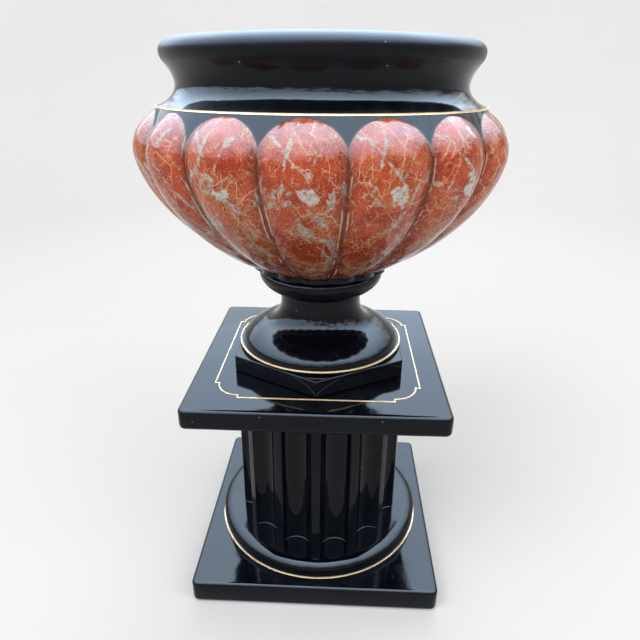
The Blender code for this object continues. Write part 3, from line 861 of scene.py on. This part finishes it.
def make_shoulder_gold_line():
    half = SHOULDER_LINE_WIDTH / 2
    high = shoulder_z + half
    low = shoulder_z - half
    outer = shoulder_radius + GOLD_THICKNESS
    lean = half * SHOULDER_SLOPE
    profile = [(shoulder_radius - SEAT_GAP, high), (outer, high), (outer, shoulder_z), (outer + lean, low),
               (shoulder_radius + lean - SEAT_GAP, low)]
    gold_ring("gold_shoulder_line", profile, "urn", "shoulder_gold_line", seed=3.9)


def make_plinth():
    rings = plate_rings(plinth_apothem, 6, PLINTH_EDGE * 1.5, urn_z, urn_z + PLINTH_HEIGHT, PLINTH_EDGE,
                        PLINTH_EDGE, foot_bore)
    show("glazed_hex_plinth", rings, [black, clay], "urn", "hex_plinth",
         mark=clay_within(rings))


def bell_curve(inset, steps):
    """Points up the bell's toe, its dome and the sweep to the stem, moved in square to the surface."""
    curve = []
    for i in range(steps + 1):
        slope = pi / 2 + (BELL_TOE_SLOPE - pi / 2) * i / steps
        r = bell_radius - BELL_TOE_ROUND * (1 - sin(slope))
        curve.append((r, fillet_top_z + BELL_TOE_ROUND * cos(slope), slope))
    for i in range(1, steps + 1):
        slope = BELL_TOE_SLOPE + (BELL_LEAST_SLOPE - BELL_TOE_SLOPE) * i / steps
        r = sweep_foot_radius + bell_round * (sin(slope) - sin(BELL_LEAST_SLOPE))
        curve.append((r, bell_crown_z + bell_round * cos(slope), slope))
    for i in range(1, steps * 2 + 1):
        angle = sweep_turn * (1 - i / steps / 2)
        slope = atan2(STEM_SWEEP_HEIGHT * cos(angle), STEM_SWEEP_WIDTH * sin(angle))
        r = STEM_RADIUS + STEM_SWEEP_WIDTH * (1 - cos(angle))
        curve.append((r, stem_foot_z - STEM_SWEEP_HEIGHT * sin(angle), slope))
    return [(r - inset * sin(slope), z - inset * cos(slope)) for r, z, slope in curve]


def make_bell_foot():
    profile = [(STEM_RADIUS, stem_top_z), (STEM_RADIUS, (stem_foot_z + stem_top_z) / 2)]
    profile += reversed(bell_curve(0, steps=14))
    profile += [(FOOT_RADIUS, fillet_top_z), (FOOT_RADIUS, foot_z)]
    profile += [(foot_bore, foot_z)] + bell_curve(FOOT_WALL, steps=6) + [(stem_bore, stem_top_z)]
    profile = eased(profile)
    inside = next(k for k, (r, z) in enumerate(profile) if z <= foot_z + ARRIS and r < bell_radius)
    show("glazed_bell_foot", turned_rings(profile), [black, clay], "urn", "bell_foot",
         mark=lambda row: 1 if row >= inside else 0)


def make_collar():
    widest_z = collar_top_z - COLLAR_ROUND
    lowest = acos(STEM_RADIUS / collar_radius)
    swell = COLLAR_SWELL / sin(lowest)
    profile = arc((groove_radius, widest_z), GROOVE_DEPTH, COLLAR_ROUND, 90, 0, steps=12)
    profile += arc((0, widest_z), collar_radius, swell, 0, -lowest * 180 / pi, steps=30)[1:]
    profile += [(stem_bore, collar_z), (stem_bore, collar_top_z)]
    show("glazed_stem_collar", turned_rings(eased(profile)), [black], "urn", "stem_collar")


def crest_below(drop):
    """Radius of a lobe's crest at a depth below the belly."""
    return BELLY_RADIUS * oval_reach(drop / BELLY_DEPTH, BELLY_FULLNESS)


def cone_radius(rise):
    """Radius of the sloping shoulder at a height above the belly."""
    return shoulder_radius + (SHOULDER_RISE - rise) * SHOULDER_SLOPE


def lobe_share(angle, softness):
    """Radius of a lobe's round section at an angle from its crest, as a share of the crest's radius.

    The valley between two lobes is filled in a little, more so the softer it is."""
    centre = (1 - crease ** 2) / (2 * (1 - crease * cos(pi / LOBE_COUNT)))
    own, next_one = [centre * cos(a) + sqrt(max((1 - centre) ** 2 - (centre * sin(a)) ** 2, 0))
                     for a in (angle, 2 * pi / LOBE_COUNT - angle)]
    return own + max(softness - (own - next_one), 0) ** 2 / softness / 4


def scallop_rise(angle):
    """Height above the belly where a lobe ends on the sloping shoulder, at an angle from its crest."""
    across = angle * LOBE_COUNT / pi
    fall = SCALLOP_ROUND - sqrt(SCALLOP_ROUND ** 2 - across ** 2)
    return lobe_top_rise - SCALLOP_DROP * fall / (SCALLOP_ROUND - sqrt(SCALLOP_ROUND ** 2 - 1))


def lobe_above(widest, top, rise):
    """Radius of a lobe above the belly, along an oval that meets the sloping shoulder at its top."""
    reach = oval_reach(cone_radius(top) / widest, SHOULDER_FULLNESS)
    return widest * oval_reach(reach * rise / top, SHOULDER_FULLNESS)


def bowl_foot(angle):
    """Groove and lip under the lobes, in (radius, height) points."""
    lip = lip_radius * lobe_share(angle, VALLEY_AT_FOOT)
    lip_top_z = lip_z + LIP_HEIGHT
    groove = [(groove_radius, bowl_z), (groove_radius, lip_z - GROOVE_ROUND_HEIGHT),
              (groove_radius + GROOVE_ROUND_WIDTH, lip_z)]
    return groove + [(lip - LIP_FOOT_EDGE, lip_z), (lip, lip_z + LIP_FOOT_EDGE),
                     (lip, lip_top_z - LIP_TOP_EDGE), (lip, lip_top_z)]


def bowl_lobe(angle):
    """A lobe from its foot over the belly to its scalloped top, in (radius, height) points."""
    points = []
    for step in range(LOBE_ROWS):
        drop = lobe_drop * (1 - step / LOBE_ROWS)
        share = lobe_share(angle, VALLEY_AT_FOOT + (VALLEY_AT_BELLY - VALLEY_AT_FOOT) * step / LOBE_ROWS)
        points.append((crest_below(drop) * share, belly_z - drop))
    share = lobe_share(angle, VALLEY_AT_BELLY)
    top = scallop_rise(angle)
    for step in range(LOBE_TOP_ROWS + 1):
        rise = top * sin(pi / 2 * step / LOBE_TOP_ROWS)
        points.append((lobe_above(BELLY_RADIUS * share, top, rise), belly_z + rise))
    return points


def bowl_inside():
    """The bowl's mouth and its hollow down to the floor, in (radius, height) points."""
    notch = scallop_rise(pi / LOBE_COUNT)
    points = [(shoulder_radius - NECK_WALL, shoulder_z), (cone_radius(notch) - BOWL_WALL, belly_z + notch)]
    widest = BELLY_RADIUS * crease - BOWL_WALL
    depth = BELLY_DEPTH - BOWL_WALL
    deepest = belly_z - bowl_z - BOWL_FLOOR
    for step in range(BOWL_INNER_ROWS + 1):
        drop = deepest * step / BOWL_INNER_ROWS
        points.append((widest * oval_reach(drop / depth, BELLY_FULLNESS), belly_z - drop))
    return points


def bowl_column(angle):
    """The bowl's outside and inside in one upright plane at an angle from a lobe's crest."""
    outside = bowl_foot(angle) + bowl_lobe(angle)
    edge = Vector(outside[-1])
    arris = Vector((shoulder_radius, shoulder_z))
    shoulder = [tuple(edge.lerp(arris, k / SHOULDER_ROWS)) for k in range(1, SHOULDER_ROWS + 1)]
    return outside + shoulder + bowl_inside()


def make_bowl():
    columns = LOBE_COUNT * LOBE_COLUMNS
    lobe_end = LOBE_START + LOBE_ROWS + LOBE_TOP_ROWS
    profiles = []
    for i in range(LOBE_COLUMNS):
        from_crest = 2 * pi * i / columns
        profiles.append(bowl_column(min(from_crest, 2 * pi / LOBE_COUNT - from_crest)))
    rings = []
    for row in range(len(profiles[0])):
        ring = []
        for i in range(columns):
            r, z = profiles[i % LOBE_COLUMNS][row]
            angle = 2 * pi * i / columns + LOBE_TURN - pi / 2
            ring.append((r * cos(angle), r * sin(angle), z))
        rings.append(ring)
    bowl = show("marbled_bowl", rings, [marble, black], "urn", "gadrooned_bowl",
                wrap=False, mark=lambda row: 0 if LOBE_START <= row < lobe_end else 1, sharp=28)
    lay_out_lobes(bowl.data, profiles, lobe_end)
    note_creases(bowl.data, profiles)


def lay_out_lobes(mesh, profiles, lobe_end):
    """Note for each face corner its place on the flattened lobe, with a slice of its own for each lobe."""
    columns = LOBE_COUNT * LOBE_COLUMNS
    lengths = []
    for profile in profiles:
        total = [0.0] * len(profile)
        for row in range(lobe_end - 1, -1, -1):
            total[row] = total[row + 1] + (Vector(profile[row]) - Vector(profile[row + 1])).length
        lengths.append(total)
    places = []
    for face in mesh.polygons:
        corners = [mesh.loops[k].vertex_index for k in face.loop_indices]
        at = [vertex % columns for vertex in corners]
        first = min(at) if max(at) - min(at) < columns / 2 else columns - 1
        lobe = (first + LOBE_COLUMNS // 2) // LOBE_COLUMNS
        for vertex, column in zip(corners, at):
            row = vertex // columns
            offset = column - lobe * LOBE_COLUMNS
            offset += columns if offset < -columns / 2 else 0
            own = column % LOBE_COLUMNS
            across = sqrt(profiles[own][row][0] * BELLY_RADIUS) * 2 * pi * offset / columns
            places += (across, lengths[own][row], LOBE_SLICE * ((lobe + FIRST_SLICE) % LOBE_COUNT))
    mesh.attributes.new("lobe_place", "FLOAT_VECTOR", "CORNER").data.foreach_set("vector", places)


def note_creases(mesh, profiles):
    """Note for each point how far away the crease between two lobes is."""
    distances = []
    for vertex in range(len(mesh.vertices)):
        row, column = divmod(vertex, LOBE_COUNT * LOBE_COLUMNS)
        share = abs((column + LOBE_COLUMNS // 2) % LOBE_COLUMNS - LOBE_COLUMNS // 2) / LOBE_COLUMNS
        distances.append(profiles[column % LOBE_COLUMNS][row][0] * 2 * pi / LOBE_COUNT * (0.5 - share))
    mesh.attributes.new("from_crease", "FLOAT", "POINT").data.foreach_set("value", distances)


def make_neck_and_rim():
    wall = []
    for i in range(NECK_ROWS):
        share = 1 - i / NECK_ROWS
        flared = neck_radius + NECK_FLARE * share ** NECK_FULLNESS
        wall.append((flared, throat_z + (rim_z - throat_z) * share))
    sweep = acos(1 - NECK_INSET / NECK_SWEEP)
    depth = NECK_THROAT_RISE / sin(sweep)
    centre = (neck_radius + NECK_SWEEP, throat_z)
    wall += arc(centre, NECK_SWEEP, depth, 180, 180 + sweep * 180 / pi, steps=22)
    inner = rim_radius - RIM_WALL
    profile = arc((inner + RIM_INNER_ROLL, rim_top_z - RIM_INNER_ROLL), RIM_INNER_ROLL, RIM_INNER_ROLL,
                  180, 90, steps=8)
    profile += arc((rim_radius - RIM_ROLL, rim_widest_z), RIM_ROLL, rim_top_z - rim_widest_z, 90, 0, steps=18)
    profile += arc((rim_radius - RIM_UNDER_ROLL, rim_widest_z), RIM_UNDER_ROLL, RIM_UNDER_ROLL,
                   0, -rim_under_turn * 180 / pi, steps=10)[1:-1]
    profile += wall
    profile += [(r - NECK_WALL, z) for r, z in reversed(wall[NECK_INNER_START:])]
    profile.append((inner, rim_z))
    rings = turned_rings(eased(profile, least_turn=radians(35)))
    show("glazed_neck_and_rim", rings, [black], "urn", "neck_and_rim")


def make_camera():
    data = bpy.data.cameras.new("photo_camera")
    data.lens = CAMERA_LENS
    data.sensor_width = CAMERA_SENSOR
    camera = add_object("photo_camera", data)
    turn = Matrix.Rotation(CAMERA_HEADING, 4, "Z") @ Matrix.Rotation(pi / 2 - CAMERA_TILT_DOWN, 4, "X")
    camera.matrix_world = Matrix.Translation(CAMERA_SPOT) @ turn @ Matrix.Rotation(CAMERA_ROLL, 4, "Z")
    bpy.context.scene.camera = camera


def floor_paint():
    finish = new_finish("studio_floor_paint")
    cloud = finish.noise(finish.coordinate("Object"), 1.5)
    colour = finish.tint(cloud, (0.86, 0.86, 0.86), (0.89, 0.89, 0.89))
    return finish.surface(colour, 0.9, None, {"Specular IOR Level": 0.0})


def make_floor():
    """Pale floor that curves up into a low wall all round."""
    profile = [(r, 0.0) for r in (*FLOOR_INNER_RINGS, FLOOR_RADIUS)]
    profile += arc((FLOOR_RADIUS, WALL_CURVE), WALL_CURVE, WALL_CURVE, -90, 0, steps=16)[1:]
    profile.append((FLOOR_RADIUS + WALL_CURVE, WALL_TOP))
    points = [point for ring in turned_rings(profile, FLOOR_COLUMNS) for point in ring]
    faces = [tuple(range(FLOOR_COLUMNS))] + ring_faces(len(profile), FLOOR_COLUMNS, False)
    mesh = bpy.data.meshes.new("studio_floor")
    mesh.from_pydata(points, [], faces)
    mesh.shade_smooth()
    mesh.materials.append(floor_paint())
    add_object("studio_floor", mesh)


def make_sky():
    """Sky with a ragged lower edge, which the camera and the glaze see, and even light for all the rest."""
    world = bpy.data.worlds.new("studio_sky")
    bpy.context.scene.world = world
    sky = Finish(world)
    direction = sky.coordinate("Generated")
    up = sky.axis(direction, "Z")
    side = sky.axis(direction, "X")
    behind = sky.axis(direction, "Y")
    raggedness = sky.between(sky.step(behind, 0.2, -0.5), 0.7, 2.4)
    ragged = (sky.noise(direction, 5.0, 4.0, 0.65) - 0.5) * raggedness
    clear = sky.step(up + ragged - side * 0.16 + behind * 0.10, 0.16, 0.52)
    low_behind = sky.step(behind, -0.3, 0.6) * sky.step(up, 0.80, 0.30)
    glow = sky.between(clear, 0.8, 7.4) * (1 - low_behind * 0.42)
    glow = glow + sky.step(up, 0.45, 0.85) * 5.0 + sky.step(up, 0.80, 0.98) * 5.0
    cool = sky.tint(clear, (1.0, 1.0, 1.0), (0.77, 0.98, 1.24))
    seen = sky.node("ShaderNodeLightPath", {}, {}, "Is Camera Ray")
    for ray in ("Is Glossy Ray", "Is Transmission Ray"):
        seen = seen.most(sky.node("ShaderNodeLightPath", {}, {}, ray))
    background = sky.tree.nodes["Background"]
    sky.feed(background.inputs["Color"], sky.tint(seen, (1.0, 1.0, 1.0), cool))
    sky.feed(background.inputs["Strength"], ROOM_LIGHT * (1 - seen) + glow * seen)


def make_lamps():
    """Soft lamps that the glaze doesn't mirror, turned to the middle of the piece."""
    for name, spot, size, watts in LAMPS:
        data = bpy.data.lights.new(name, "AREA")
        data.size = size
        data.energy = watts
        lamp = add_object(name, data)
        lamp.location = spot
        aim = Vector(LAMP_AIM) - Vector(spot)
        lamp.rotation_mode = "QUATERNION"
        lamp.rotation_quaternion = aim.to_track_quat("-Z", "Y")
        lamp.visible_glossy = False
        lamp.visible_camera = False


make_camera()
make_floor()
make_sky()
make_lamps()
bpy.context.scene.view_settings.view_transform = "Standard"

black = black_glaze()
clay = bare_clay()
gold = fired_gold()
marble = red_marble()

make_base_plate()
make_base_moulding()
make_fluted_shaft()
make_top_plate()
make_gold_frame()
make_base_gold_line()
make_foot_gold_line()
make_shoulder_gold_line()
make_plinth()
make_bell_foot()
make_collar()
make_bowl()
make_neck_and_rim()
